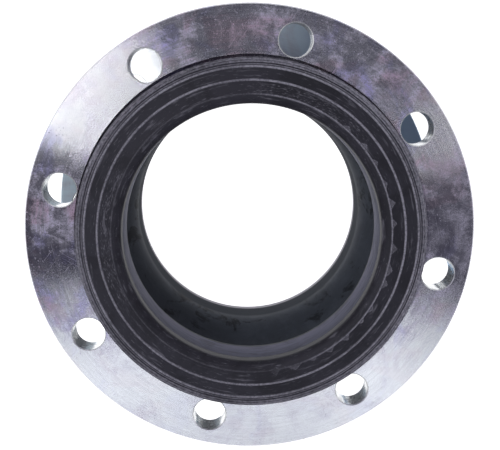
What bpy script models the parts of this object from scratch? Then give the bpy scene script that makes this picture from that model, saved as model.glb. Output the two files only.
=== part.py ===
"""Rubber expansion joint for a 6 inch pipe line: a moulded single-arch rubber bellows between two
loose drilled steel flanges.

The bore runs along +Z. The rear sealing face is at Z = 0 and the front sealing face at Z = LENGTH.
Both ends are alike, so every end piece is drawn once as a section of (radius, depth), where depth is
measured from that end's own sealing face into the body. All sizes are in metres.

The rubber wall is a stack of layers, from the bore outwards: the liner, the cord plies and the outer
cover. The plies run up inside each sealing collar and turn outwards over the bundle of bead wires.
Neighbouring pieces that touch in the real object are drawn with the gap GAP between them.
"""
import math

import bmesh
import bpy
from mathutils import Matrix, Vector

# ---- driving dimensions ----
LENGTH = 0.1524             # sealing face to sealing face, 6 inches
GAP = 0.0003                # drawn between pieces that touch

FLANGE_RADIUS = 0.1397      # 11 inch flange
FLANGE_THICKNESS = 0.018
FACE_PROUD = 0.0035         # how far the rubber face stands out of the flange
RIM_CHAMFER = 0.0008
BOLT_CIRCLE_RADIUS = 0.12065
BOLT_HOLE_RADIUS = 0.0103
BOLT_COUNT = 8
REAR_FIRST_BOLT_DEG = 44.0  # the two loose flanges don't stand at quite the same angle
FRONT_FIRST_BOLT_DEG = 32.0
SEAT_RADIUS = 0.1088        # counterbore in the flange that holds the rubber collar
SEAT_DEPTH = 0.0125         # depth of the seat's floor below the sealing face
THROAT_RADIUS = 0.0980      # opening through the flange behind the seat

RUBBER_OFFSET = (0.0005, -0.0017)  # the rubber has settled to one side inside the loose flanges
FACE_RADIUS = 0.1093        # the sealing face's lip laps over the edge of the seat
COLLAR_RADIUS = 0.1067      # outside of the collar within the seat
COLLAR_DEPTH = 0.0122
BORE_ROUND = 0.0060         # radius of the rounded edge between the sealing face and the bore
COLLAR_FACE_SKIN = 0.0027   # rubber over the turned-out plies
COLLAR_EDGE = 0.0008        # bevel on the face's outer edge
POCKET_OUTER_RADIUS = 0.1023

PLY_COUNT = 4
PLY_TURN_DEPTH = 0.0030     # depth of the first turned-out ply
PLY_TURN_THICKNESS = 0.0008
PLY_TURN_RADIUS = 0.1020

WIRE_RADIUS = 0.00115
WIRE_PITCH = 0.0026
WIRE_FIRST_RADIUS = 0.0956  # centre of the innermost wire
WIRE_DEPTH = 0.00855        # centre of the first row
WIRE_ROWS = (3, 2)
FILLER_INNER_RADIUS = 0.0906
FILLER_OUTER_RADIUS = 0.0941

BORE_RADIUS = 0.0812        # at the sealing face
NECK_INNER_RADIUS = 0.0810  # where the arch begins on the bore side
ARCH_INNER_DEPTH = 0.035    # depth at which the arch begins on the bore side
CROWN_INNER_RADIUS = 0.0980
NECK_OUTER_RADIUS = 0.0940
SHOULDER_OUTER_RADIUS = 0.0950
ARCH_OUTER_DEPTH = 0.030
CROWN_OUTER_RADIUS = 0.1110

# share of the wall, 0 at the bore and 1 at the outside, that each layer takes
LINER_SHARE = (0.0, 0.27)
FIRST_PLY_SHARE = 0.29
PLY_SHARE = 0.08
PLY_SHARE_PITCH = 0.10
COVER_SHARE = (0.69, 1.0)

RUBBER_FACETS = 40
FLANGE_FACETS = 72
HOLE_FACETS = 20
WIRE_SIDES = 6
ARCH_STEPS = 10             # wall sections from one side of the arch to the other


def material(name, colour, metallic, roughness):
    made = bpy.data.materials.new(name)
    made.use_nodes = True
    shader = made.node_tree.nodes["Principled BSDF"]
    shader.inputs["Base Color"].default_value = (*colour, 1.0)
    shader.inputs["Metallic"].default_value = metallic
    shader.inputs["Roughness"].default_value = roughness
    return made


def height(depth, front):
    """Height of a point at this depth below an end's sealing face."""
    return LENGTH - depth if front else depth


def section_area(section):
    """Area inside a closed section, positive when its points run anticlockwise in radius and height."""
    total = 0.0
    for (r0, z0), (r1, z1) in zip(section, section[1:] + section[:1]):
        total += r0 * z1 - r1 * z0
    return total / 2


def turned(name, section, facets, finish, parent=None, smooth_degrees=30.0, centre=(0.0, 0.0)):
    """A closed ring: the section, a list of (radius, height), turned once about a vertical axis."""
    if section_area(section) < 0:
        section = section[::-1]
    mesh = bpy.data.meshes.new(name)
    built = bmesh.new()
    rings = []
    for i in range(facets):
        turn = Matrix.Translation((*centre, 0)) @ Matrix.Rotation(2 * math.pi * i / facets, 4, "Z")
        rings.append([built.verts.new(turn @ Vector((r, 0, z))) for r, z in section])
    for i in range(facets):
        here = rings[i]
        there = rings[(i + 1) % facets]
        for k in range(len(section)):
            n = (k + 1) % len(section)
            built.faces.new((here[k], there[k], there[n], here[n]))
    bmesh.ops.recalc_face_normals(built, faces=built.faces)
    for face in built.faces:
        face.smooth = True
    for edge in built.edges:
        edge.smooth = edge.calc_face_angle() < math.radians(smooth_degrees)
    built.to_mesh(mesh)
    built.free()
    mesh.materials.append(finish)
    piece = bpy.data.objects.new(name, mesh)
    bpy.context.collection.objects.link(piece)
    piece.parent = parent
    if parent:
        piece.matrix_parent_inverse = parent.matrix_world.inverted()
    return piece


def pivot(name, z, parent=None):
    """An empty at the centre of a motion, on the bore axis."""
    made = bpy.data.objects.new(name, None)
    made.empty_display_size = 0.02
    bpy.context.collection.objects.link(made)
    made.location = (0, 0, z)
    made.parent = parent
    if parent:
        made.matrix_parent_inverse = parent.matrix_world.inverted()
    bpy.context.view_layer.update()
    return made


def ease(t):
    """0 to 1 along half a cosine wave, level at both ends."""
    return (1 - math.cos(math.pi * min(max(t, 0.0), 1.0))) / 2


def wall_side(depth, neck, shoulder, crown, arch_depth):
    """Radius of one side of the wall: a tapered neck, then half of the arch."""
    if depth <= arch_depth:
        return neck + (shoulder - neck) * depth / arch_depth
    rise = (depth - arch_depth) / (LENGTH / 2 - arch_depth)
    return shoulder + (crown - shoulder) * ease(rise)


def wall_radius(z, share):
    """Radius at height z of the surface that lies this share of the way through the wall."""
    depth = min(z, LENGTH - z)
    inner = wall_side(depth, BORE_RADIUS, NECK_INNER_RADIUS, CROWN_INNER_RADIUS, ARCH_INNER_DEPTH)
    outer = wall_side(
        depth, NECK_OUTER_RADIUS, SHOULDER_OUTER_RADIUS, CROWN_OUTER_RADIUS, ARCH_OUTER_DEPTH
    )
    return inner + (outer - inner) * share


def wall_heights(end_depth):
    """Heights at which every layer of the wall is sampled, from the rear end to the front end."""
    arch_start = (ARCH_INNER_DEPTH + ARCH_OUTER_DEPTH) / 2
    step = (LENGTH - 2 * arch_start) / ARCH_STEPS
    arch = [arch_start + step * i for i in range(ARCH_STEPS + 1)]
    return [end_depth, *arch, LENGTH - end_depth]


def straight_layer(share_from, share_to):
    """Section of a layer that stops square under the sealing collars."""
    heights = wall_heights(COLLAR_DEPTH + GAP)
    inside = [(wall_radius(z, share_from), z) for z in heights]
    outside = [(wall_radius(z, share_to), z) for z in heights]
    return inside + outside[::-1]


def ply_layer(number):
    """Section of a cord ply, whose two ends turn outwards over the bead wires."""
    share = FIRST_PLY_SHARE + PLY_SHARE_PITCH * number
    top = PLY_TURN_DEPTH + (PLY_TURN_THICKNESS + GAP) * number
    under = top + PLY_TURN_THICKNESS
    inside = [(wall_radius(z, share), z) for z in wall_heights(top)]
    outside = [(wall_radius(z, share + PLY_SHARE), z) for z in wall_heights(under)]
    front_turn = [(PLY_TURN_RADIUS, LENGTH - top), (PLY_TURN_RADIUS, LENGTH - under)]
    rear_turn = [(PLY_TURN_RADIUS, under), (PLY_TURN_RADIUS, top)]
    return inside + front_turn + outside[::-1] + rear_turn


def flange(name, front, first_bolt_deg, finish, parent):
    """A flange with a seat for the rubber collar and a ring of bolt holes."""
    face = FACE_PROUD
    back = FACE_PROUD + FLANGE_THICKNESS
    outline = [
        (SEAT_RADIUS, face),
        (FLANGE_RADIUS - RIM_CHAMFER, face),
        (FLANGE_RADIUS, face + RIM_CHAMFER),
        (FLANGE_RADIUS, back - RIM_CHAMFER),
        (FLANGE_RADIUS - RIM_CHAMFER, back),
        (THROAT_RADIUS, back),
        (THROAT_RADIUS, SEAT_DEPTH),
        (SEAT_RADIUS, SEAT_DEPTH),
    ]
    section = [(r, height(depth, front)) for r, depth in outline]
    piece = turned(name, section, FLANGE_FACETS, finish, parent)

    drill_mesh = bpy.data.meshes.new(name + "_drills")
    drills = bmesh.new()
    middle = height((face + back) / 2, front)
    for i in range(BOLT_COUNT):
        angle = math.radians(first_bolt_deg + 360.0 / BOLT_COUNT * i)
        centre = Vector((math.cos(angle), math.sin(angle), 0)) * BOLT_CIRCLE_RADIUS
        place = Matrix.Translation(centre + Vector((0, 0, middle)))
        bmesh.ops.create_cone(
            drills,
            cap_ends=True,
            segments=HOLE_FACETS,
            radius1=BOLT_HOLE_RADIUS,
            radius2=BOLT_HOLE_RADIUS,
            depth=FLANGE_THICKNESS * 2,
            matrix=place @ Matrix.Rotation(angle, 4, "Z"),
        )
    drills.to_mesh(drill_mesh)
    drills.free()
    cutter = bpy.data.objects.new(name + "_drills", drill_mesh)
    bpy.context.collection.objects.link(cutter)
    cutter.hide_render = True
    cutter.display_type = "WIRE"
    drilled = piece.modifiers.new("bolt_holes", "BOOLEAN")
    drilled.operation = "DIFFERENCE"
    drilled.solver = "EXACT"
    drilled.object = cutter
    return piece


def collar(name, front, finish, parent):
    """The rubber end ring: a flat sealing face over a pocket, open at the back, for plies and wires."""
    lip_under = FACE_PROUD - GAP
    bore_edge = []
    for degrees in (0, 30, 60, 90):
        angle = math.radians(degrees)
        depth = BORE_ROUND * (1 - math.cos(angle))
        radius = wall_radius(BORE_ROUND, 0.0) + BORE_ROUND * (1 - math.sin(angle))
        bore_edge.append((radius, depth))
    outline = bore_edge[::-1] + [
        (FACE_RADIUS - COLLAR_EDGE, 0.0),
        (FACE_RADIUS, COLLAR_EDGE),
        (FACE_RADIUS, lip_under),
        (COLLAR_RADIUS, lip_under),
        (COLLAR_RADIUS, COLLAR_DEPTH),
        (POCKET_OUTER_RADIUS, COLLAR_DEPTH),
        (POCKET_OUTER_RADIUS, COLLAR_FACE_SKIN),
        (wall_radius(COLLAR_FACE_SKIN, LINER_SHARE[1]), COLLAR_FACE_SKIN),
        (wall_radius(COLLAR_DEPTH, LINER_SHARE[1]), COLLAR_DEPTH),
        (wall_radius(COLLAR_DEPTH, 0.0), COLLAR_DEPTH),
    ]
    section = [(r, height(depth, front)) for r, depth in outline]
    return turned(name, section, RUBBER_FACETS, finish, parent, centre=RUBBER_OFFSET)


def bead_filler(name, front, finish, parent):
    """The rubber strip between the outermost ply and the wires."""
    depth_from = PLY_TURN_DEPTH + (PLY_TURN_THICKNESS + GAP) * PLY_COUNT
    outline = [
        (FILLER_INNER_RADIUS, depth_from),
        (FILLER_OUTER_RADIUS, depth_from),
        (FILLER_OUTER_RADIUS, COLLAR_DEPTH),
        (FILLER_INNER_RADIUS, COLLAR_DEPTH),
    ]
    section = [(r, height(depth, front)) for r, depth in outline]
    return turned(name, section, RUBBER_FACETS, finish, parent, centre=RUBBER_OFFSET)


def bead_wires(prefix, front, finish, parent):
    """Hard wire hoops, packed in rows like stacked logs."""
    number = 1
    for row, count in enumerate(WIRE_ROWS):
        depth = WIRE_DEPTH + WIRE_PITCH * math.sin(math.radians(60)) * row
        for i in range(count):
            centre = WIRE_FIRST_RADIUS + WIRE_PITCH * (i + row / 2)
            section = []
            for k in range(WIRE_SIDES):
                angle = 2 * math.pi * k / WIRE_SIDES
                r = centre + WIRE_RADIUS * math.cos(angle)
                section.append((r, height(depth, front) + WIRE_RADIUS * math.sin(angle)))
            name = "{}_bead_wire_{}".format(prefix, number)
            turned(name, section, RUBBER_FACETS, finish, parent, 70.0, RUBBER_OFFSET)
            number += 1


for old in list(bpy.data.objects):
    bpy.data.objects.remove(old)

zinc = material("zinc_plated_steel", (0.62, 0.63, 0.66), 1.0, 0.32)
seal_rubber = material("sealing_rubber", (0.030, 0.030, 0.034), 0.0, 0.55)
liner_rubber = material("liner_rubber", (0.022, 0.023, 0.028), 0.0, 0.45)
cover_rubber = material("cover_rubber", (0.026, 0.026, 0.028), 0.0, 0.60)
filler_rubber = material("filler_rubber", (0.040, 0.038, 0.036), 0.0, 0.70)
cord_fabric = material("rubbered_nylon_cord", (0.120, 0.100, 0.080), 0.0, 0.85)
bead_steel = material("bead_wire_steel", (0.50, 0.46, 0.38), 1.0, 0.35)

# every motion turns or slides about the bore axis, or about a point on it at mid-height
rear_flange_pivot = pivot("rear_swivel_pivot", FACE_PROUD + FLANGE_THICKNESS / 2)
axial_pivot = pivot("axial_travel_pivot", LENGTH / 2)
bend_pivot = pivot("angular_deflection_pivot", LENGTH / 2, axial_pivot)
offset_pivot = pivot("lateral_offset_pivot", LENGTH / 2, bend_pivot)
front_height = LENGTH - FACE_PROUD - FLANGE_THICKNESS / 2
front_flange_pivot = pivot("front_swivel_pivot", front_height, offset_pivot)

flange("rear_flange", False, REAR_FIRST_BOLT_DEG, zinc, rear_flange_pivot)
flange("front_flange", True, FRONT_FIRST_BOLT_DEG, zinc, front_flange_pivot)

for end, is_front, holder in (("rear", False, None), ("front", True, offset_pivot)):
    collar(end + "_sealing_collar", is_front, seal_rubber, holder)
    bead_filler(end + "_bead_filler", is_front, filler_rubber, holder)
    bead_wires(end, is_front, bead_steel, holder)

layers = [
    ("inner_liner", straight_layer(*LINER_SHARE), liner_rubber, axial_pivot),
    ("outer_cover", straight_layer(*COVER_SHARE), cover_rubber, bend_pivot),
]
for ply in range(PLY_COUNT):
    carrier = axial_pivot if ply < PLY_COUNT / 2 else bend_pivot
    layers.append(("cord_ply_{}".format(ply + 1), ply_layer(ply), cord_fabric, carrier))
for layer, layer_section, layer_finish, carrier in layers:
    turned(layer, layer_section, RUBBER_FACETS, layer_finish, carrier, centre=RUBBER_OFFSET)
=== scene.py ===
import math

import bmesh
import bpy
import numpy as np
from mathutils import Matrix, Vector, noise


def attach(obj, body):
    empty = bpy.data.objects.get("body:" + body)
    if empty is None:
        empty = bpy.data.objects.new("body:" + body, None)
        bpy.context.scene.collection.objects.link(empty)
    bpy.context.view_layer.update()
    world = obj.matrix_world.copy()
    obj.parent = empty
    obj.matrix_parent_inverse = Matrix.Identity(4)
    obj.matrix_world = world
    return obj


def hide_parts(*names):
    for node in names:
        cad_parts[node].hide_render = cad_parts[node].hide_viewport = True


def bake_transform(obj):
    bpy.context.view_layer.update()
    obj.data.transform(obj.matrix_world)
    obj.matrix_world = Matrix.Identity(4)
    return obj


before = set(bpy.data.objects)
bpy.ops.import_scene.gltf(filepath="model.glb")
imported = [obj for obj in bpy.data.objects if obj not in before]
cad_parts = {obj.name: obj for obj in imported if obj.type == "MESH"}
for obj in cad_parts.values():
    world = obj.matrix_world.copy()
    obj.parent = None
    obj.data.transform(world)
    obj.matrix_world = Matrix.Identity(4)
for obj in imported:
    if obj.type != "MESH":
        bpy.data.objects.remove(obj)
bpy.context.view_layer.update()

# ---- sizes in metres, as in the CAD model unless noted ----
LENGTH = 0.1524
GAP = 0.0003

FLANGE_RADIUS = 0.1397
FACE_PROUD = 0.0035           # how far the rubber stands out of the flange
FLANGE_THICKNESS = 0.018
FLANGE_BACK = FACE_PROUD + FLANGE_THICKNESS
BOLT_CIRCLE_RADIUS = 0.12065
BOLT_HOLE_RADIUS = 0.0103
BOLT_COUNT = 8
FIRST_BOLT_DEG = {"rear": 44.0, "front": 32.0}
SEAT_RADIUS = 0.1093          # half a millimetre wider than in the CAD model, so that the gap reads
SEAT_DEPTH = 0.0125
THROAT_RADIUS = 0.0980

RUBBER_CENTRE = (0.0005, -0.0017)
FACE_RADIUS = 0.1093
COLLAR_RADIUS = 0.1067
COLLAR_DEPTH = 0.0122
FACE_SKIN = 0.0027            # rubber between the sealing face and the collar's pocket
POCKET_RADIUS = 0.1023
BORE_ROUND = 0.0060           # rounded edge from the sealing face into the bore
BORE_RADIUS = 0.0812

NECK_INNER_RADIUS = 0.0810
ARCH_INNER_DEPTH = 0.035
CROWN_INNER_RADIUS = 0.0980
NECK_OUTER_RADIUS = 0.0940
SHOULDER_OUTER_RADIUS = 0.0950
ARCH_OUTER_DEPTH = 0.030
CROWN_OUTER_RADIUS = 0.1110

# heights at which one zone of the wall hands over to the next
FIRST_SEAM = 0.053
REAR_ZONE = (FLANGE_BACK, FIRST_SEAM)
MIDDLE_ZONE = (FIRST_SEAM, LENGTH - FIRST_SEAM)
FRONT_ZONE = (LENGTH - FIRST_SEAM, LENGTH - FLANGE_BACK)

# share of the wall's thickness that each layer takes, from the bore outwards
LINER_SHARE = (0.0, 0.27)
CARCASS_SHARE = (0.29, 0.67)
COVER_SHARE = (0.69, 1.0)

# marks on the cover: faint ridges from the wrapping tape and the mould's parting line at the crown
WRAP_RELIEF = 0.00025
WRAP_PITCH = 0.019
PARTING_HEIGHT = 0.0007
PARTING_HALF_WIDTH = 0.0013

# facets round each ring
FLANGE_STEPS = 360
COLLAR_STEPS = 720
WALL_STEPS = 240

# edges that bend by more than this are drawn sharp
STEEL_SHARP_DEG = 28.0
RUBBER_SHARP_DEG = 40.0


# ---- shader helpers ----
class Shader:
    """A material's node tree, with short calls for the nodes that the finishes share."""

    def __init__(self, name):
        self.material = bpy.data.materials.new(name)
        self.material.use_nodes = True
        self.tree = self.material.node_tree
        self.tree.nodes.clear()
        self.output = self.tree.nodes.new("ShaderNodeOutputMaterial")
        self.bsdf = self.tree.nodes.new("ShaderNodeBsdfPrincipled")
        self.link(self.bsdf.outputs["BSDF"], self.output.inputs["Surface"])
        self.place = self.node("ShaderNodeTexCoord").outputs["Object"]

    def node(self, kind, **settings):
        made = self.tree.nodes.new(kind)
        for key, value in settings.items():
            setattr(made, key, value)
        return made

    def link(self, source, target):
        self.tree.links.new(source, target)

    def put(self, value, socket):
        """Set a socket to a number, a colour or another node's output."""
        if isinstance(value, bpy.types.NodeSocket):
            self.link(value, socket)
        elif isinstance(value, tuple) and len(value) == 3 and socket.type == "RGBA":
            socket.default_value = (*value, 1.0)
        else:
            socket.default_value = value

    def surface(self, **values):
        """Set the shader's own sockets by name, with _ for a space."""
        for name, value in values.items():
            self.put(value, self.bsdf.inputs[name.replace("_", " ")])

    def math(self, operation, a, b=0.0, c=0.0, clamp=False):
        made = self.node("ShaderNodeMath", operation=operation, use_clamp=clamp)
        for value, socket in zip((a, b, c), made.inputs):
            self.put(value, socket)
        return made.outputs[0]

    def plus(self, a, b, clamp=False):
        return self.math("ADD", a, b, clamp=clamp)

    def times(self, a, b, clamp=False):
        return self.math("MULTIPLY", a, b, clamp=clamp)

    def most(self, a, b):
        return self.math("MAXIMUM", a, b)

    def less(self, mask, share):
        """1 where the mask is 0, and lower by this share where the mask is 1."""
        return self.math("MULTIPLY_ADD", mask, -share, 1.0)

    def waves(self, value, rate):
        """0 to 1 and back, rate times for each 2 pi of the value."""
        return self.math("MULTIPLY_ADD", self.math("SINE", self.times(value, rate)), 0.5, 0.5)

    def combine(self, x, y, z):
        made = self.node("ShaderNodeCombineXYZ")
        for value, socket in zip((x, y, z), made.inputs):
            self.put(value, socket)
        return made.outputs[0]

    def place_axis(self, axis):
        split = self.node("ShaderNodeSeparateXYZ")
        self.link(self.place, split.inputs[0])
        return split.outputs[axis]

    def cylindrical(self, centre=(0.0, 0.0)):
        """(radius, angle in radians, height) of the place about a vertical axis."""
        x = self.math("SUBTRACT", self.place_axis(0), centre[0])
        y = self.math("SUBTRACT", self.place_axis(1), centre[1])
        square = self.plus(self.times(x, x), self.times(y, y))
        return self.math("SQRT", square), self.math("ARCTAN2", y, x), self.place_axis(2)

    def scaled(self, vector, factors):
        made = self.node("ShaderNodeVectorMath", operation="MULTIPLY")
        self.put(vector, made.inputs[0])
        made.inputs[1].default_value = factors
        return made.outputs[0]

    def turned(self, radians, factors):
        """The place turned about the vertical axis, then scaled."""
        made = self.node("ShaderNodeMapping", vector_type="POINT")
        self.link(self.place, made.inputs["Vector"])
        made.inputs["Rotation"].default_value = (0.0, 0.0, radians)
        return self.scaled(made.outputs["Vector"], factors)

    def noise(self, vector, scale, detail, rough, distortion=0.0):
        made = self.node("ShaderNodeTexNoise")
        self.put(vector, made.inputs["Vector"])
        made.inputs["Scale"].default_value = scale
        made.inputs["Detail"].default_value = detail
        made.inputs["Roughness"].default_value = rough
        made.inputs["Distortion"].default_value = distortion
        return made.outputs["Fac"]

    def band(self, value, low, high, to_low=0.0, to_high=1.0):
        """value from low..high to to_low..to_high, smoothly and clamped."""
        made = self.node("ShaderNodeMapRange", interpolation_type="SMOOTHSTEP")
        self.put(value, made.inputs["Value"])
        made.inputs["From Min"].default_value = low
        made.inputs["From Max"].default_value = high
        made.inputs["To Min"].default_value = to_low
        made.inputs["To Max"].default_value = to_high
        return made.outputs["Result"]

    def mix(self, factor, a, b):
        made = self.node("ShaderNodeMix", data_type="RGBA")
        self.put(factor, made.inputs["Factor"])
        self.put(a, made.inputs["A"])
        self.put(b, made.inputs["B"])
        return made.outputs["Result"]

    def attribute(self, name):
        return self.node("ShaderNodeAttribute", attribute_name=name).outputs["Fac"]

    def bump(self, height, distance, strength, normal=None):
        made = self.node("ShaderNodeBump")
        made.inputs["Strength"].default_value = strength
        made.inputs["Distance"].default_value = distance
        self.put(height, made.inputs["Height"])
        if normal is not None:
            self.link(normal, made.inputs["Normal"])
        return made.outputs["Normal"]


def tinted(colour, factors):
    return tuple(c * k for c, k in zip(colour, factors))


def shaded(colour, factor):
    return tuple(c * factor for c in colour)


# ---- zinc-plated steel ----
ZINC_ROUGHNESS = 0.200
HAZE_ROUGHNESS = 0.07         # added under full haze
HAZE_METAL_LOSS = 0.88        # taken off the metallic value under full haze
TOOL_MARK_RELIEF = 0.00003
DRILL_RING_RELIEF = 0.00004
# metres of radius over which the turned marks change as much as in one radian round the flange
TOOL_MARK_DRIFT = 0.0016
TOOL_LINE_DRIFT = 0.004

# stains, as factors on the metal's colour and on the haze's colour
VIOLET_METAL = (0.78, 0.78, 1.02)
VIOLET_HAZE = (0.70, 0.70, 1.0)
WARM_METAL = (0.90, 0.74, 0.76)
WARM_HAZE = (0.92, 0.68, 0.70)
TOOL_LINE_TINT = (0.62, 0.62, 0.68)

# fine scratches, as (direction in radians, fineness, noise level at which they begin)
SCRATCHES = [(0.5, 1.0, 0.715), (1.35, 1.2, 0.72), (2.2, 0.9, 0.715), (2.8, 1.3, 0.725)]
SCRATCH_SCALES = (30.0, 1500.0)     # of the noise, along and across a scratch
WIPE_DIRECTION = 0.42
WIPE_SCALES = (34.0, 150.0, 1.0)    # along and across a wipe mark
# white specks, as (noise scale, noise level at which they begin)
SPECKS = [(700.0, 0.69), (1250.0, 0.68)]
SEAT_WEAR = (SEAT_RADIUS + 0.0013, SEAT_RADIUS)

# edges of the cleaner regions, each from where the change begins to where it is complete; arcs in radians
CLEAN_SIDE_Y = (-0.085, -0.040)
CLEAN_SIDE_X = (0.100, 0.125)
CLEAN_RIM = (FLANGE_RADIUS - 0.0002, FLANGE_RADIUS - 0.0008)
WIPED_ARC_START = (2.02, 2.22)
WIPED_ARC_END = (2.72, 2.58)
# share of the stains and haze that is left in each of them
SOIL_SIDE_Y = 0.22
SOIL_SIDE_X = 0.60
SOIL_RIM = 0.25
SOIL_WIPED_ARC = 0.25

# the rear flange's inner face: a clean stripe of bare metal, brightened as a painted highlight, grey-blue
# bloom beside it, painted shade towards +X
INNER_FACE = (FLANGE_BACK - 0.0025, FLANGE_BACK - 0.0007)
HIGHLIGHT_STRIPE_START = (-0.060, -0.020)
HIGHLIGHT_STRIPE_END = (0.110, 0.080)
SHADE_SIDE_START = (0.015, 0.085)
HIGHLIGHT_STRIPE_METAL = (0.94, 0.97, 1.0)
BLUE_BLOOM = (0.76, 0.93, 1.0)
BLOOM_ROUGHNESS = 0.30


def zinc_haze(s, radius, cloud, patch):
    """How hazed the plating is: drifting bloom, wipe marks, scratches, specks and the seat's worn edge."""
    grain = s.noise(s.place, scale=1500.0, detail=4.0, rough=0.8)
    bloom = s.times(s.band(cloud, 0.42, 0.60, 0.10, 1.10), s.band(patch, 0.40, 0.61, 0.20, 1.30))
    haze = s.times(bloom, s.band(grain, 0.36, 0.64, 0.42, 1.12))
    wipes = s.noise(s.turned(WIPE_DIRECTION, WIPE_SCALES), scale=1.0, detail=6.0, rough=0.66, distortion=0.5)
    haze = s.most(haze, s.times(s.band(wipes, 0.50, 0.68), s.band(cloud, 0.44, 0.58, 0.10, 0.95)))
    for direction, fineness, level in SCRATCHES:
        along, across = SCRATCH_SCALES
        stretched = s.turned(direction, (along * fineness, across * fineness, 1.0))
        line = s.noise(stretched, scale=1.0, detail=2.0, rough=0.5, distortion=0.5)
        haze = s.most(haze, s.band(line, level - 0.005, level + 0.04, 0.0, 0.9))
    for scale, level in SPECKS:
        speck = s.band(s.noise(s.place, scale, detail=1.0, rough=0.4), level, level + 0.05)
        haze = s.most(haze, s.times(speck, s.band(patch, 0.42, 0.56, 0.6, 1.0)))
    by_seat = s.band(radius, *SEAT_WEAR)
    return s.most(haze, s.times(by_seat, s.band(patch, 0.40, 0.60, 0.0, 0.6)))


def zinc_soiling(s, radius, angle):
    """How far stains and haze come through: less towards -Y and +X, on the rim and along a wiped arc."""
    soiled = s.band(s.place_axis(1), *CLEAN_SIDE_Y, SOIL_SIDE_Y, 1.0)
    soiled = s.times(soiled, s.band(radius, *CLEAN_RIM, SOIL_RIM, 1.0))
    wiped_arc = s.times(s.band(angle, *WIPED_ARC_START), s.band(angle, *WIPED_ARC_END))
    soiled = s.times(soiled, s.less(wiped_arc, 1.0 - SOIL_WIPED_ARC))
    return s.times(soiled, s.band(s.place_axis(0), *CLEAN_SIDE_X, 1.0, SOIL_SIDE_X))


def stained_zinc(s, tone, haze_tone, haze, soiled):
    """The plating's colour: violet and warm stains, in the metal and in the haze over it."""
    violet = s.noise(s.scaled(s.place, (1.4, 1.0, 1.0)), scale=27.0, detail=4.0, rough=0.6, distortion=0.8)
    violet = s.times(s.band(violet, 0.50, 0.62), soiled)
    warm = s.noise(s.scaled(s.place, (1.0, 1.3, 1.0)), scale=30.0, detail=4.0, rough=0.6, distortion=0.6)
    warm = s.times(s.band(warm, 0.50, 0.62), soiled)
    metal = s.mix(s.times(violet, 0.7), tone, tinted(tone, VIOLET_METAL))
    metal = s.mix(s.times(warm, 0.7), metal, tinted(tone, WARM_METAL))
    veil = s.mix(s.times(violet, 0.8), haze_tone, tinted(haze_tone, VIOLET_HAZE))
    veil = s.mix(s.times(warm, 0.8), veil, tinted(haze_tone, WARM_HAZE))
    return s.mix(haze, metal, veil)


def dull_and_painted_inner_face(s, base, haze, cloud, height, shade_tone):
    """The rear flange's inner face, as (colour, haze, roughness to add)."""
    on_face = s.band(height, *INNER_FACE)
    across = s.plus(s.place_axis(0), s.place_axis(1))
    highlight_stripe = s.times(s.band(across, *HIGHLIGHT_STRIPE_START), s.band(across, *HIGHLIGHT_STRIPE_END))
    dull = s.times(s.math("SUBTRACT", 1.0, highlight_stripe), on_face)
    shaded_side = s.times(s.band(s.place_axis(0), *SHADE_SIDE_START), on_face)
    # painted highlight: the stripe's metal is brightened where the turned face's highlight runs
    base = s.mix(s.times(highlight_stripe, on_face), base, HIGHLIGHT_STRIPE_METAL)
    base = s.mix(s.times(dull, s.band(cloud, 0.35, 0.60, 0.35, 1.0)), base, BLUE_BLOOM)
    # painted shade: the +X side is darkened to the shade tone, where it lies in shade
    base = s.mix(shaded_side, base, shade_tone)
    haze = s.math("MULTIPLY_ADD", dull, 0.75, s.times(haze, s.less(on_face, 0.8)), clamp=True)
    haze = s.times(haze, s.less(shaded_side, 0.85))
    return base, haze, s.times(dull, BLOOM_ROUGHNESS)


def zinc_finish(name, tone, haze_tone, shade_tone=None):
    """Turned steel with bright zinc plating; with a shade tone, the rear flange's inner face is dulled,
    tinted, given a painted highlight stripe and painted shade towards +X.
    """
    s = Shader(name)
    radius, angle, height = s.cylindrical()
    tool_marks = s.combine(radius, s.times(angle, TOOL_MARK_DRIFT), s.times(height, 0.02))
    tool_marks = s.noise(tool_marks, scale=1500.0, detail=3.0, rough=0.7)
    tool_lines = s.combine(radius, s.times(angle, TOOL_LINE_DRIFT), 0.0)
    tool_lines = s.noise(tool_lines, scale=950.0, detail=3.0, rough=0.7)
    cloud = s.noise(s.place, scale=26.0, detail=6.0, rough=0.62, distortion=0.6)
    patch = s.noise(s.place, scale=85.0, detail=8.0, rough=0.74, distortion=0.15)
    soiled = zinc_soiling(s, radius, angle)
    haze = s.times(zinc_haze(s, radius, cloud, patch), soiled, clamp=True)
    base = stained_zinc(s, tone, haze_tone, haze, soiled)
    lined = s.times(s.band(tool_lines, 0.40, 0.64, 0.0, 0.60), soiled)
    lined = s.plus(lined, s.band(tool_lines, 0.40, 0.64, 0.0, 0.10))
    base = s.mix(lined, base, tinted(tone, TOOL_LINE_TINT))
    satin = 0.0
    if shade_tone is not None:
        base, haze, satin = dull_and_painted_inner_face(s, base, haze, cloud, height, shade_tone)
    s.surface(
        Base_Color=base,
        Metallic=s.less(haze, HAZE_METAL_LOSS),
        Roughness=s.plus(s.math("MULTIPLY_ADD", haze, HAZE_ROUGHNESS, ZINC_ROUGHNESS), satin),
        Anisotropic=1.0,
        Anisotropic_Rotation=0.25,
        Tangent=s.node("ShaderNodeTangent", direction_type="RADIAL", axis="Z").outputs[0],
        Normal=s.bump(tool_marks, TOOL_MARK_RELIEF, 0.5),
    )
    return s.material


def drilled_finish(name, tone):
    """Bright zinc on the drilled walls and chamfers of the bolt holes, with rings left by the drill."""
    s = Shader(name)
    rings = s.noise(s.scaled(s.place, (0.05, 0.05, 1.0)), scale=2200.0, detail=3.0, rough=0.7)
    stain = s.noise(s.place, scale=120.0, detail=4.0, rough=0.6, distortion=0.4)
    s.surface(
        Base_Color=s.mix(s.band(stain, 0.42, 0.62, 0.0, 0.6), tone, shaded(tone, 0.62)),
        Metallic=0.75,
        Roughness=s.band(stain, 0.40, 0.65, 0.20, 0.34),
        Normal=s.bump(rings, DRILL_RING_RELIEF, 0.6),
    )
    return s.material


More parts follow.
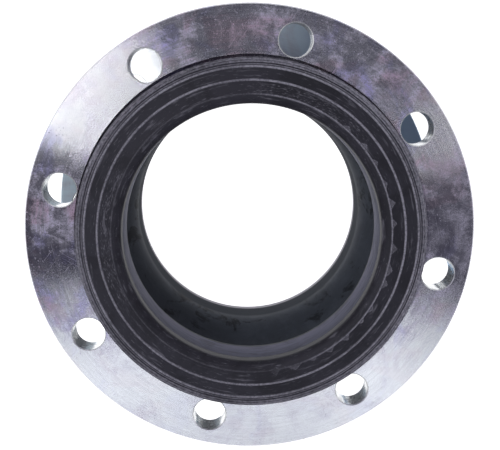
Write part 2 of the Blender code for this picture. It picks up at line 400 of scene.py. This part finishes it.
# ---- rubber ----
GLOSS_TINT = (0.90, 0.89, 1.0)
# painted sheen: lightens the front neck's colour where it is lit
SHEEN_TINT = (3.5, 3.1, 3.6)
GRAIN_RELIEF = 0.00005
STREAK_RELIEF = 0.00010
WEAVE_AROUND = 620.0          # threads round the cover
WEAVE_UPWARDS = 5200.0        # radians of the threads' wave in a metre of height

# edges of the bore's regions, each from where the change begins to where it is complete
FRONT_NECK_EDGE = LENGTH - ARCH_INNER_DEPTH
FRONT_NECK = (FRONT_NECK_EDGE - 0.0015, FRONT_NECK_EDGE)
SHEEN_AND_POLISH_RISE = (LENGTH - COLLAR_DEPTH, FRONT_NECK_EDGE + 0.003)
# painted shade: the rear neck below this height is darkened
SHADED_MATT_REAR_NECK = (ARCH_INNER_DEPTH + 0.004, ARCH_INNER_DEPTH - 0.004)
# and of the rear collar's lip, which is lightened as a painted highlight
LIT_LIP_BELOW = (0.0125, 0.0105)
LIT_LIP_WITHIN = (0.0845, 0.0825)


def bore_marks(s, base, rough, colour, streak, radius, angle, height):
    """The bore: a front neck that is smoother and lightened with a painted sheen and lit band, smears beyond
    it and a rear neck darkened with painted shade.
    """
    on_neck = s.band(height, *FRONT_NECK)
    # painted light: the front neck is lightened, most towards the arch, as its lit band and sheen; the same
    # mask keeps it smoother
    sheen_and_polish = s.times(on_neck, s.band(height, *SHEEN_AND_POLISH_RISE, 0.55, 1.0))
    sheen_and_polish = s.times(sheen_and_polish, s.band(streak, 0.30, 0.60, 0.55, 1.0))
    base = s.mix(sheen_and_polish, base, tinted(colour, SHEEN_TINT))
    smear = s.combine(s.times(angle, 0.07), radius, s.times(height, 0.8))
    smear = s.noise(smear, scale=48.0, detail=6.0, rough=0.68, distortion=0.5)
    off_neck = s.less(on_neck, 0.70)
    base = s.mix(s.times(s.band(smear, 0.53, 0.62, 0.0, 0.80), off_neck), base, shaded(colour, 0.25))
    base = s.mix(s.times(s.band(smear, 0.46, 0.30, 0.0, 0.50), off_neck), base, shaded(colour, 1.6))
    # painted shade: the rear neck is darkened where it lies in shade, and made rougher
    rear_neck_shade_and_matt = s.band(height, *SHADED_MATT_REAR_NECK)
    base = s.mix(rear_neck_shade_and_matt, base, shaded(colour, 0.60))
    rough = s.plus(rough, s.times(rear_neck_shade_and_matt, 0.30))
    rough = s.plus(rough, s.times(s.math("SUBTRACT", on_neck, sheen_and_polish), 0.25))
    return base, rough


def face_marks(s, base, rough, colour, pale, wrap, cloud, radius, height):
    """The sealing face: flecks, dark patches, a painted highlight on the rear collar's lip and the pale worn
    places.
    """
    flecks = s.noise(wrap, scale=1700.0, detail=3.0, rough=0.7, distortion=0.3)
    base = s.mix(s.band(flecks, 0.60, 0.72, 0.0, 0.30), base, pale)
    base = s.mix(s.band(cloud, 0.52, 0.40, 0.0, 0.55), base, shaded(colour, 0.45))
    # painted highlight: the rear collar's bore lip is lightened where light catches it
    lit_rear_lip = s.times(s.band(height, *LIT_LIP_BELOW), s.band(radius, *LIT_LIP_WITHIN))
    base = s.mix(s.times(lit_rear_lip, 0.55), base, pale)
    crumb = s.noise(s.place, scale=700.0, detail=4.0, rough=0.7, distortion=0.5)
    worn = s.times(s.attribute("worn"), s.band(crumb, 0.38, 0.60, 0.50, 1.05), clamp=True)
    return s.mix(worn, base, pale), s.plus(rough, s.times(worn, 0.15))


def rubber_finish(name, colour, pale, roughness, level=0.4, marks=None):
    """Moulded black rubber with dust and flow marks; marks adds those of the bore, the face or the weave."""
    s = Shader(name)
    radius, angle, height = s.cylindrical(RUBBER_CENTRE)
    wrap = s.combine(radius, s.times(angle, 0.012), height)
    streak = s.noise(wrap, scale=420.0, detail=4.0, rough=0.6, distortion=0.4)
    cloud = s.noise(s.place, scale=38.0, detail=4.0, rough=0.6, distortion=0.5)
    grain = s.noise(s.place, scale=1500.0, detail=3.0, rough=0.6)
    base = s.mix(s.band(cloud, 0.40, 0.70, 0.0, 0.5), colour, shaded(colour, 1.6))
    base = s.mix(s.band(streak, 0.55, 0.75, 0.0, 0.35), base, pale)
    rough = s.plus(roughness, s.band(streak, 0.5, 0.8, 0.0, 0.15))
    if marks == "bore":
        base, rough = bore_marks(s, base, rough, colour, streak, radius, angle, height)
    elif marks == "face":
        base, rough = face_marks(s, base, rough, colour, pale, wrap, cloud, radius, height)
    elif marks == "weave":
        weave = s.times(s.waves(angle, WEAVE_AROUND), s.waves(height, WEAVE_UPWARDS))
        grain = s.plus(grain, s.times(weave, 0.7))
    s.surface(
        Base_Color=base,
        Roughness=s.plus(rough, 0.0, clamp=True),
        Specular_IOR_Level=level,
        Specular_Tint=GLOSS_TINT,
        Normal=s.bump(streak, STREAK_RELIEF, 0.5, s.bump(grain, GRAIN_RELIEF, 0.5)),
    )
    return s.material


# ---- geometry helpers ----
def ease(t):
    """0 to 1 along half a cosine wave, level at both ends."""
    return (1 - math.cos(math.pi * min(max(t, 0.0), 1.0))) / 2


def wall_side(depth, neck, shoulder, crown, arch_depth):
    """Radius of one side of the wall: a tapered neck, then half of the arch."""
    if depth <= arch_depth:
        return neck + (shoulder - neck) * depth / arch_depth
    rise = (depth - arch_depth) / (LENGTH / 2 - arch_depth)
    return shoulder + (crown - shoulder) * ease(rise)


def cover_relief(z):
    """How far the tape ridges or the parting line stand out of the cover at height z."""
    depth = min(z, LENGTH - z)
    relief = WRAP_RELIEF * math.sin(2 * math.pi * depth / WRAP_PITCH) ** 8
    away = abs(z - LENGTH / 2) / PARTING_HALF_WIDTH
    if away < 1:
        relief = max(relief, PARTING_HEIGHT * (1 - away * away))
    return relief


def wall_radius(z, share):
    """Radius at height z of the surface that lies this share of the way through the wall."""
    depth = min(z, LENGTH - z)
    inner = wall_side(depth, BORE_RADIUS, NECK_INNER_RADIUS, CROWN_INNER_RADIUS, ARCH_INNER_DEPTH)
    outer = wall_side(depth, NECK_OUTER_RADIUS, SHOULDER_OUTER_RADIUS, CROWN_OUTER_RADIUS, ARCH_OUTER_DEPTH)
    radius = inner + (outer - inner) * share
    if share == COVER_SHARE[1]:
        radius += cover_relief(z)
    return radius


def height_of(depth, end):
    """Height of a point at this depth below an end's sealing face."""
    return LENGTH - depth if end == "front" else depth


def smooth_by_angle(mesh, sharp_deg):
    built = bmesh.new()
    built.from_mesh(mesh)
    for face in built.faces:
        face.smooth = True
    for edge in built.edges:
        edge.smooth = edge.calc_face_angle(0.0) < math.radians(sharp_deg)
    built.to_mesh(mesh)
    built.free()


def lathe(name, section, finish, centre, sharp_deg, steps):
    """A closed ring of revolution: section is a closed list of (radius, height)."""
    area = sum(a[0] * b[1] - b[0] * a[1] for a, b in zip(section, section[1:] + section[:1]))
    if area < 0:
        section = section[::-1]
    count = len(section)
    flat = np.array(section, float)
    turn = 2 * np.pi * np.arange(steps) / steps
    verts = np.empty((steps, count, 3))
    verts[:, :, 0] = centre[0] + np.cos(turn)[:, None] * flat[None, :, 0]
    verts[:, :, 1] = centre[1] + np.sin(turn)[:, None] * flat[None, :, 0]
    verts[:, :, 2] = flat[None, :, 1]
    i, k = np.meshgrid(np.arange(steps), np.arange(count), indexing="ij")
    j = (i + 1) % steps
    n = (k + 1) % count
    faces = np.stack([i * count + k, j * count + k, j * count + n, i * count + n], -1).reshape(-1, 4)
    mesh = bpy.data.meshes.new(name)
    mesh.from_pydata(verts.reshape(-1, 3).tolist(), [], faces.tolist())
    mesh.materials.append(finish)
    smooth_by_angle(mesh, sharp_deg)
    made = bpy.data.objects.new(name, mesh)
    bpy.context.collection.objects.link(made)
    return made


# ---- flanges ----
RIM_CHAMFER = 0.0008
SEAT_CHAMFER = 0.0002
HOLE_CHAMFER = 0.0006
DRILL_STEPS = 64
DRILL_REACH = 0.0004          # how far a drill stands out of the flange at both ends
HOLE_SLACK = 0.0002           # allowed when telling a hole's facets from the others
LEVEL_NORMAL = 0.9            # facets whose normals rise more than this are on a flat face


def level_ring(built, centre, radius, first_angle, height):
    """The vertices of one ring of a drill, at one height."""
    ring = []
    for k in range(DRILL_STEPS):
        turn = first_angle + 2 * math.pi * k / DRILL_STEPS
        out = Vector((math.cos(turn), math.sin(turn), 0)) * radius
        ring.append(built.verts.new(centre + out + Vector((0, 0, height))))
    return ring


def drill_set(end):
    """Eight drills that flare at both ends, so that they cut the holes and their chamfers at once."""
    built = bmesh.new()
    # (depth, flare) of each ring
    stations = [
        (FACE_PROUD - DRILL_REACH, HOLE_CHAMFER + DRILL_REACH),
        (FACE_PROUD + HOLE_CHAMFER, 0.0),
        (FLANGE_BACK - HOLE_CHAMFER, 0.0),
        (FLANGE_BACK + DRILL_REACH, HOLE_CHAMFER + DRILL_REACH),
    ]
    for i in range(BOLT_COUNT):
        angle = math.radians(FIRST_BOLT_DEG[end] + 360.0 / BOLT_COUNT * i)
        centre = Vector((math.cos(angle), math.sin(angle), 0)) * BOLT_CIRCLE_RADIUS
        rings = []
        for depth, flare in stations:
            rings.append(level_ring(built, centre, BOLT_HOLE_RADIUS + flare, angle, height_of(depth, end)))
        for low, high in zip(rings, rings[1:]):
            for k in range(DRILL_STEPS):
                n = (k + 1) % DRILL_STEPS
                built.faces.new((low[k], low[n], high[n], high[k]))
        built.faces.new(rings[0][::-1])
        built.faces.new(rings[-1])
    bmesh.ops.recalc_face_normals(built, faces=built.faces)
    mesh = bpy.data.meshes.new(end + "_drills")
    built.to_mesh(mesh)
    built.free()
    made = bpy.data.objects.new(end + "_drills", mesh)
    bpy.context.collection.objects.link(made)
    return made


def cut_away(body, cutter):
    """Cut one object out of another, then remove the cutter."""
    cut = body.modifiers.new("cut", "BOOLEAN")
    cut.operation = "DIFFERENCE"
    cut.solver = "EXACT"
    cut.object = cutter
    evaluated = body.evaluated_get(bpy.context.evaluated_depsgraph_get())
    shape = bpy.data.meshes.new_from_object(evaluated)
    body.modifiers.clear()
    body.data = shape
    bpy.data.objects.remove(cutter)


def in_bolt_hole(point, end):
    """Whether a point lies on a bolt hole's wall or chamfer."""
    pitch = 2 * math.pi / BOLT_COUNT
    first = math.radians(FIRST_BOLT_DEG[end])
    angle = first + pitch * round((math.atan2(point.y, point.x) - first) / pitch)
    away = math.hypot(
        point.x - BOLT_CIRCLE_RADIUS * math.cos(angle),
        point.y - BOLT_CIRCLE_RADIUS * math.sin(angle),
    )
    return away < BOLT_HOLE_RADIUS + HOLE_CHAMFER + HOLE_SLACK


def make_flange(end, finish, drilled):
    # (radius, depth) of each corner of the section
    outline = [
        (SEAT_RADIUS + SEAT_CHAMFER, FACE_PROUD),
        (FLANGE_RADIUS - RIM_CHAMFER, FACE_PROUD),
        (FLANGE_RADIUS, FACE_PROUD + RIM_CHAMFER),
        (FLANGE_RADIUS, FLANGE_BACK - RIM_CHAMFER),
        (FLANGE_RADIUS - RIM_CHAMFER, FLANGE_BACK),
        (THROAT_RADIUS + RIM_CHAMFER, FLANGE_BACK),
        (THROAT_RADIUS, FLANGE_BACK - RIM_CHAMFER),
        (THROAT_RADIUS, SEAT_DEPTH),
        (SEAT_RADIUS, SEAT_DEPTH),
        (SEAT_RADIUS, FACE_PROUD + SEAT_CHAMFER),
    ]
    section = [(radius, height_of(depth, end)) for radius, depth in outline]
    flange = lathe(end + "_flange_steel", section, finish, (0.0, 0.0), STEEL_SHARP_DEG, FLANGE_STEPS)
    cut_away(flange, drill_set(end))
    smooth_by_angle(flange.data, STEEL_SHARP_DEG)
    flange.data.materials.append(drilled)
    for facet in flange.data.polygons:
        if in_bolt_hole(facet.center, end) and abs(facet.normal.z) < LEVEL_NORMAL:
            facet.material_index = 1
    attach(flange, end + "_swivel")
    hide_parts(end + "_flange")


# ---- sealing collars ----
RIB_HEIGHT = 0.00045
CORNER_RADIUS = 0.0872        # where the sealing face turns into the bore
# (radius, half width, share of the full height) of the raised lines on the sealing face
RIBS = [
    (CORNER_RADIUS, 0.0006, 0.8),
    (0.0956, 0.0009, 1.0),
    (0.1037, 0.0009, 1.0),
    (0.1051, 0.0005, 0.5),
    (0.1067, 0.0006, 0.7),
    (0.1081, 0.0006, 0.8),
]
FACE_STEP = 0.00015
LIP_ROUND = 0.0006
LIP_CHAMFER = 0.0002
COLLAR_CHAMFER = 0.001
BORE_STEPS = 8
CORNER_STEPS = 12
LIP_STEPS = 6

# the worn places are drawn on the sealing face down to this depth
WORN_DEPTH = 0.0012
# arcs of the worn places, as (start, stop, fade) in degrees
BRIGHT_RIBS = (-20, 75, 30)
BRIGHT_CORNER = (-60, 82, 10)
TORN_FLASH = (-45, 50, 12)
TORN_FLASH_TAIL = (285, 310, 10)
CRUMBLED = (160, 205, 10)
CRUMBLED_BESIDE_FLASH = (45, 85, 10)
MOST_FRAYED = (-35, 60, 25)
MORE_FRAYED = (120, 150, 20)

# torn flash round the corner: a tooth in each pitch, and how pale it and its outline are
TOOTH_PITCH_DEG = 8.5
TOOTH_LEAST_HALF_DEG = 1.9
TOOTH_MORE_HALF_DEG = 2.2
TOOTH_LEAST_HEIGHT = 0.0020
TOOTH_MORE_HEIGHT = 0.0045
TOOTH_OUTLINE = 0.0004
TOOTH_PALE = 0.36
OUTLINE_PALE = 0.80
FLASH_ZONE = (-0.0003, 0.0065)
FRAYED_FROM_RADIUS = 0.1062
CORNER_TO_RADIUS = CORNER_RADIUS + 0.001
LEAST_WORN_RISE = 0.1


def face_rise(radius):
    """Share of a rib's full height to which the sealing face rises at this radius."""
    rise = 0.0
    for centre, half, share in RIBS:
        away = abs(radius - centre) / half
        if away < 1:
            rise = max(rise, share * (1 - away * away) ** 1.5)
    return rise


def collar_section():
    """Section of a collar as (radius, depth): bore, rounded corner, ribbed face, lip, seat and pocket."""
    points = []
    for k in range(BORE_STEPS):
        depth = COLLAR_DEPTH + (BORE_ROUND - COLLAR_DEPTH) * k / BORE_STEPS
        points.append((wall_radius(depth, 0.0), depth))
    bore = wall_radius(BORE_ROUND, 0.0)
    for k in range(CORNER_STEPS + 1):
        angle = math.radians(90 - 90 * k / CORNER_STEPS)
        radius = bore + BORE_ROUND * (1 - math.sin(angle))
        depth = RIB_HEIGHT + (BORE_ROUND - RIB_HEIGHT) * (1 - math.cos(angle))
        points.append((radius, depth - RIB_HEIGHT * face_rise(radius)))
    radius = bore + BORE_ROUND + FACE_STEP
    while radius < FACE_RADIUS - LIP_ROUND:
        points.append((radius, RIB_HEIGHT * (1 - face_rise(radius))))
        radius += FACE_STEP
    for k in range(LIP_STEPS + 1):
        angle = math.radians(90 * k / LIP_STEPS)
        radius = FACE_RADIUS - LIP_ROUND + LIP_ROUND * math.sin(angle)
        points.append((radius, RIB_HEIGHT + LIP_ROUND * (1 - math.cos(angle))))
    points += [
        (FACE_RADIUS, FACE_PROUD - GAP - LIP_CHAMFER),
        (FACE_RADIUS - LIP_CHAMFER, FACE_PROUD - GAP),
        (COLLAR_RADIUS, FACE_PROUD - GAP),
        (COLLAR_RADIUS, COLLAR_DEPTH - COLLAR_CHAMFER),
        (COLLAR_RADIUS - COLLAR_CHAMFER, COLLAR_DEPTH),
        (POCKET_RADIUS, COLLAR_DEPTH),
        (POCKET_RADIUS, FACE_SKIN),
        (wall_radius(FACE_SKIN, LINER_SHARE[1]), FACE_SKIN),
        (wall_radius(COLLAR_DEPTH, LINER_SHARE[1]), COLLAR_DEPTH),
    ]
    return points


def within_arc(angle, start, stop, fade):
    """1 inside an arc in degrees, falling to 0 over the fade outside it."""
    middle = (start + stop) / 2
    half = (stop - start) / 2
    away = abs((angle - middle + 180) % 360 - 180) - half
    return min(max(1 - away / fade, 0.0), 1.0)


def ripple(angle, grain, seed):
    """Noise that runs round the ring, from about -1 to 1; grain is the number of bumps per radian."""
    turn = math.radians(angle)
    return noise.noise(Vector((math.cos(turn) * grain, math.sin(turn) * grain, seed)))


def tooth(angle, away):
    """How pale the torn flash is: a row of uneven triangles with bright outlines along the bore's edge."""
    worn = 0.0
    for step in (-1, 0, 1):
        index = math.floor(angle / TOOTH_PITCH_DEG) + step
        pick = [noise.noise(Vector((index * 7.31 + k * 3.7, k * 5.1, 2.3))) for k in (1, 2, 3)]
        middle = (index + 0.5 + 0.5 * pick[0]) * TOOTH_PITCH_DEG
        half = TOOTH_LEAST_HALF_DEG + TOOTH_MORE_HALF_DEG * abs(pick[1])
        height = TOOTH_LEAST_HEIGHT + TOOTH_MORE_HEIGHT * abs(pick[2])
        inside = height * (1 - abs(angle - middle) / half) - away
        if inside > 0:
            worn = max(worn, TOOTH_PALE if inside > TOOTH_OUTLINE else OUTLINE_PALE)
    return worn


def scuff(end, angle, radius):
    """How worn, 0 to 1, the sealing face is: rib tops, torn flash by the bore and the frayed outer lip."""
    spin = angle if end == "front" else -angle
    away = radius - CORNER_RADIUS
    patchy = ripple(spin, 3.0, radius * 90)
    grain = ripple(spin, 60.0, radius * 2500)
    worn = 0.0
    rise = face_rise(radius)
    if rise > LEAST_WORN_RISE:
        worn = rise ** 0.8 * (0.80 + 0.35 * patchy + 0.35 * grain + 0.25 * within_arc(spin, *BRIGHT_RIBS))
        if radius < CORNER_TO_RADIUS:
            worn *= 0.25 + 0.75 * within_arc(spin, *BRIGHT_CORNER)
    torn = within_arc(spin, *TORN_FLASH) + 0.6 * within_arc(spin, *TORN_FLASH_TAIL)
    if torn > 0 and FLASH_ZONE[0] < away < FLASH_ZONE[1]:
        worn = max(worn, min(torn, 1.0) * tooth(spin, max(away, 0.0)) * (0.85 + 0.5 * grain))
    crumbs = within_arc(spin, *CRUMBLED) + within_arc(spin, *CRUMBLED_BESIDE_FLASH)
    if crumbs > 0 and 0 < away < FLASH_ZONE[1]:
        worn = max(worn, crumbs * 0.9 * max(0.0, grain + 0.4 * ripple(spin, 14.0, radius * 900) - 0.18))
    if radius > FRAYED_FROM_RADIUS:
        frayed = 0.50 + 0.40 * within_arc(spin, *MOST_FRAYED) + 0.15 * within_arc(spin, *MORE_FRAYED)
        worn = max(worn, frayed * (0.70 + 0.5 * patchy + 1.0 * grain))
    return min(max(worn, 0.0), 1.0)


def make_collar(end, finish):
    section = [(radius, height_of(depth, end)) for radius, depth in collar_section()]
    collar = lathe(end + "_collar_rubber", section, finish, RUBBER_CENTRE, RUBBER_SHARP_DEG, COLLAR_STEPS)
    worn = collar.data.attributes.new("worn", "FLOAT", "POINT")
    values = []
    for vertex in collar.data.vertices:
        x = vertex.co.x - RUBBER_CENTRE[0]
        y = vertex.co.y - RUBBER_CENTRE[1]
        depth = min(vertex.co.z, LENGTH - vertex.co.z)
        value = 0.0
        if depth < WORN_DEPTH:
            value = scuff(end, math.degrees(math.atan2(y, x)), math.hypot(x, y))
        values.append(value)
    worn.data.foreach_set("value", values)
    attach(collar, end + "_end")
    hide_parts(end + "_sealing_collar")


# ---- the wall, in three zones ----
WALL_STEP = 0.0006
SEAM_OVERLAP = 0.0002
BEHIND_COLLAR = COLLAR_DEPTH + GAP
UNDER_FACE = FACE_SKIN + GAP
PLIES = ["cord_ply_1", "cord_ply_2", "cord_ply_3", "cord_ply_4"]


def spaced(start, stop, step):
    """Even steps from start to stop, of about this size."""
    count = max(1, round((stop - start) / step))
    return [start + (stop - start) * k / count for k in range(count + 1)]


def wall_zone(name, share, low, high, finish, nodes):
    """One zone of one layer of the wall."""
    heights = spaced(low, high, WALL_STEP)
    inner = [(wall_radius(z, share[0]), z) for z in heights]
    outer = [(wall_radius(z, share[1]), z) for z in heights]
    made = lathe(name, inner + outer[::-1], finish, RUBBER_CENTRE, RUBBER_SHARP_DEG, WALL_STEPS)
    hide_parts(*nodes)
    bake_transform(made)


def make_wall(liner, carcass, cover):
    # (layer, share of the wall, finish, CAD nodes, slot, depth at which it stops)
    layers = [
        ("liner", LINER_SHARE, liner, ["inner_liner"], "liner_rubber", BEHIND_COLLAR),
        ("carcass", CARCASS_SHARE, carcass, PLIES, "rubbered_nylon_cord", UNDER_FACE),
        ("cover", COVER_SHARE, cover, ["outer_cover"], "cover_rubber", BEHIND_COLLAR),
    ]
    for layer, share, finish, nodes, slot_name, stop in layers:
        rear = (stop, REAR_ZONE[1] + SEAM_OVERLAP)
        front = (FRONT_ZONE[0] - SEAM_OVERLAP, LENGTH - stop)
        # (zone, its lowest and highest height, the bodies it bends between, where it bends)
        zones = [
            ("rear", rear, ("rear_end", "axial_section"), REAR_ZONE),
            ("middle", MIDDLE_ZONE, ("axial_section", "bending_section"), MIDDLE_ZONE),
            ("front", front, ("bending_section", "front_end"), FRONT_ZONE),
        ]
        for zone, (low, high), bodies, bend in zones:
            wall_zone(layer + "_" + zone, share, low, high, finish, nodes)


# ---- build ----
zinc = {
    "front": zinc_finish(
        "zinc_plated_turned_steel",
        tone=(0.655, 0.665, 0.685),
        haze_tone=(0.76, 0.70, 0.90),
    ),
    "rear": zinc_finish(
        "zinc_plated_blued_steel",
        tone=(0.655, 0.672, 0.695),
        haze_tone=(0.75, 0.73, 0.86),
        # painted shade tone for the +X side of the rear flange's inner face
        shade_tone=(0.36, 0.49, 0.64),
    ),
}
drilled_zinc = drilled_finish("zinc_plated_drilled_holes", tone=(0.88, 0.90, 0.90))
face_rubber = rubber_finish(
    "sealing_face_rubber",
    colour=(0.027, 0.0262, 0.0345),
    pale=(0.46, 0.45, 0.52),
    roughness=0.55,
    marks="face",
)
bore_rubber = rubber_finish(
    "liner_rubber_smooth",
    colour=(0.060, 0.069, 0.088),
    pale=(0.110, 0.112, 0.150),
    roughness=0.52,
    level=0.08,
    marks="bore",
)
cover_rubber = rubber_finish(
    "cover_rubber_matt",
    colour=(0.018, 0.018, 0.020),
    pale=(0.06, 0.06, 0.066),
    roughness=0.55,
    marks="weave",
)
cord_rubber = rubber_finish(
    "cord_rubber",
    colour=(0.060, 0.052, 0.044),
    pale=(0.12, 0.10, 0.08),
    roughness=0.70,
)

for end_name in ("rear", "front"):
    make_flange(end_name, zinc[end_name], drilled_zinc)
    make_collar(end_name, face_rubber)
make_wall(bore_rubber, cord_rubber, cover_rubber)

# ---- stage ----
WHITE = (1.0, 1.0, 1.0, 1.0)
FLOOR_HALF_SIZE = 6.0
FLOOR_HEIGHT = -0.0003
FLOOR_COLOUR = (0.80, 0.80, 0.81)
FLOOR_GLOW = 1.05             # keeps the floor just at white

# the room is white up to the first of these heights on the unit sphere and dim from the second one up
ROOM_FADE = (0.08, 0.42)
CEILING_STRENGTH = 0.065
CEILING_TINT = (0.98, 0.89, 1.36, 1.0)


def make_floor():
    size = FLOOR_HALF_SIZE
    corners = [(-size, -size, 0), (size, -size, 0), (size, size, 0), (-size, size, 0)]
    mesh = bpy.data.meshes.new("floor")
    mesh.from_pydata(corners, [], [(0, 1, 2, 3)])
    s = Shader("pale_floor")
    s.surface(Base_Color=FLOOR_COLOUR, Roughness=0.6, Emission_Color=WHITE, Emission_Strength=FLOOR_GLOW)
    mesh.materials.append(s.material)
    floor = bpy.data.objects.new("floor", mesh)
    floor.location.z = FLOOR_HEIGHT
    bpy.context.collection.objects.link(floor)


def make_room():
    world = bpy.data.worlds.new("studio")
    bpy.context.scene.world = world
    world.use_nodes = True
    tree = world.node_tree
    background = tree.nodes["Background"]
    place = tree.nodes.new("ShaderNodeTexCoord")
    split = tree.nodes.new("ShaderNodeSeparateXYZ")
    ramp = tree.nodes.new("ShaderNodeMapRange")
    ramp.interpolation_type = "SMOOTHSTEP"
    ramp.inputs["From Min"].default_value = ROOM_FADE[0]
    ramp.inputs["From Max"].default_value = ROOM_FADE[1]
    ramp.inputs["To Min"].default_value = 1.0
    ramp.inputs["To Max"].default_value = CEILING_STRENGTH
    tint = tree.nodes.new("ShaderNodeMix")
    tint.data_type = "RGBA"
    tint.inputs["A"].default_value = CEILING_TINT
    tint.inputs["B"].default_value = WHITE
    tree.links.new(place.outputs["Generated"], split.inputs[0])
    tree.links.new(split.outputs[2], ramp.inputs["Value"])
    tree.links.new(ramp.outputs["Result"], background.inputs["Strength"])
    tree.links.new(ramp.outputs["Result"], tint.inputs["Factor"])
    tree.links.new(tint.outputs["Result"], background.inputs["Color"])


def soft_light(name, place, size, radiance, turn_deg=0.0, colour=(1.0, 1.0, 1.0)):
    """A flat softbox that faces straight down, turned about the vertical; radiance 1 shows as white."""
    data = bpy.data.lights.new(name, "AREA")
    data.shape = "RECTANGLE"
    data.size, data.size_y = size
    data.energy = radiance * math.pi * size[0] * size[1]
    data.color = colour
    light = bpy.data.objects.new(name, data)
    bpy.context.collection.objects.link(light)
    light.location = place
    light.rotation_euler = (0.0, 0.0, math.radians(turn_deg))


make_floor()
make_room()
soft_light("near_softbox", (-0.02, -0.495, 1.25), (0.92, 0.39), radiance=1.93, colour=(0.955, 0.99, 1.03))
soft_light("left_strip", (-0.528, 0.328, 1.25), (0.32, 0.50), radiance=8.8, turn_deg=-30.0)
soft_light("right_strip", (0.64, 0.13, 1.25), (0.26, 0.26), radiance=2.5, turn_deg=10.0)

# ---- camera ----
CAMERA_PLACE = Vector((-0.01283, 0.09648, 0.72691))
CAMERA_AIM = Vector((0.00995, 0.00502, 0.14890))
CAMERA_LENS_MM = 67.93
CAMERA_SENSOR_MM = 36.0
CAMERA_SHIFT = (-0.0349, -0.0011)


def make_camera():
    """The camera, with +Y upwards in its picture."""
    data = bpy.data.cameras.new("camera")
    data.lens = CAMERA_LENS_MM
    data.sensor_width = CAMERA_SENSOR_MM
    data.sensor_fit = "HORIZONTAL"
    data.shift_x, data.shift_y = CAMERA_SHIFT
    camera = bpy.data.objects.new("camera", data)
    bpy.context.collection.objects.link(camera)
    back = (CAMERA_PLACE - CAMERA_AIM).normalized()
    right = Vector((0, 1, 0)).cross(back).normalized()
    up = back.cross(right)
    turn = Matrix((right, up, back)).transposed().to_4x4()
    camera.matrix_world = Matrix.Translation(CAMERA_PLACE) @ turn
    bpy.context.scene.camera = camera


make_camera()
bpy.context.scene.view_settings.view_transform = "Standard"
